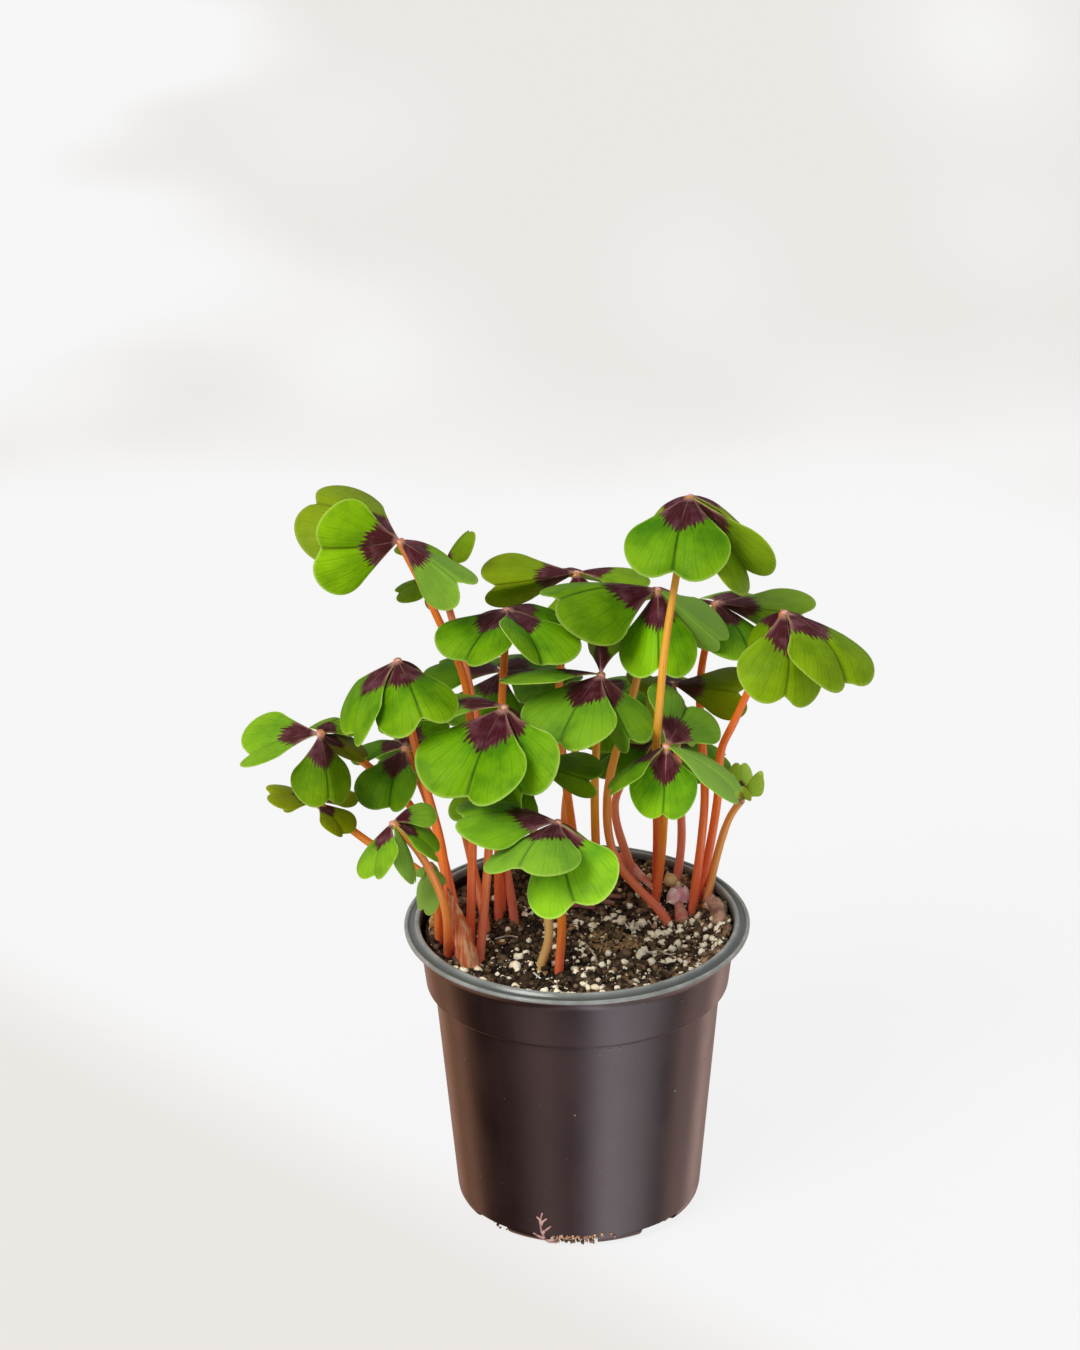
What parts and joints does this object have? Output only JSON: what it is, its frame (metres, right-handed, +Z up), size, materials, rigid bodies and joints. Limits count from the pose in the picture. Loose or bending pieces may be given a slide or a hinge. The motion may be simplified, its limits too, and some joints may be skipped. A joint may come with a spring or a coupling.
{
  "type": "potted iron cross oxalis",
  "caption": "Bushy potted oxalis: thin orange stalks carry green four-part leaves with a purple cross above soil in a black nursery pot.",
  "frame": {"origin": "centre of the pot's flat underside, on the surface it stands on", "axes": "+Z up along the pot's axis, -Y towards the plant's front, +X to the right seen from the front"},
  "size_m": [0.1976, 0.1475, 0.2475],
  "materials": {
    "pot": "satin black-brown moulded plastic",
    "soil": "dark crumbly potting mix with white perlite",
    "stalk": "smooth orange to pink, slightly glossy",
    "leaf": "soft matt green with a dark purple cross round the hub",
    "bulb": "pink scaly bulb"
  },
  "bodies": {
    "root": {"pot": "pot", "soil": "soil", "bulb": "bulb", "leaf_a_leaflets": "leaf", "leaf_a_stalk": "stalk", "leaf_b_leaflets": "leaf", "leaf_b_stalk": "stalk", "leaf_c_leaflets": "leaf", "leaf_c_stalk": "stalk", "leaf_d_leaflets": "leaf", "leaf_d_stalk": "stalk", "leaf_e_leaflets": "leaf", "leaf_e_stalk": "stalk", "leaf_f_leaflets": "leaf", "leaf_f_stalk": "stalk", "leaf_g_leaflets": "leaf", "leaf_g_stalk": "stalk", "leaf_h_leaflets": "leaf", "leaf_h_stalk": "stalk", "leaf_i_leaflets": "leaf", "leaf_i_stalk": "stalk", "leaf_j_leaflets": "leaf", "leaf_j_stalk": "stalk", "leaf_k_leaflets": "leaf", "leaf_k_stalk": "stalk", "leaf_l_leaflets": "leaf", "leaf_l_stalk": "stalk", "leaf_m_leaflets": "leaf", "leaf_m_stalk": "stalk", "leaf_n_leaflets": "leaf", "leaf_n_stalk": "stalk", "leaf_o_leaflets": "leaf", "leaf_o_stalk": "stalk", "leaf_p_leaflets": "leaf", "leaf_p_stalk": "stalk", "leaf_q_leaflets": "leaf", "leaf_q_stalk": "stalk", "leaf_r_leaflets": "leaf", "leaf_r_stalk": "stalk", "leaf_s_leaflets": "leaf", "leaf_s_stalk": "stalk", "leaf_t_leaflets": "leaf", "leaf_t_stalk": "stalk", "leaf_u_leaflets": "leaf", "leaf_u_stalk": "stalk", "leaf_v_leaflets": "leaf", "leaf_v_stalk": "stalk", "leaf_w_leaflets": "leaf", "leaf_w_stalk": "stalk", "leaf_x_leaflets": "leaf", "leaf_x_stalk": "stalk", "leaf_y_leaflets": "leaf", "leaf_y_stalk": "stalk"}
  },
  "joints": []
}
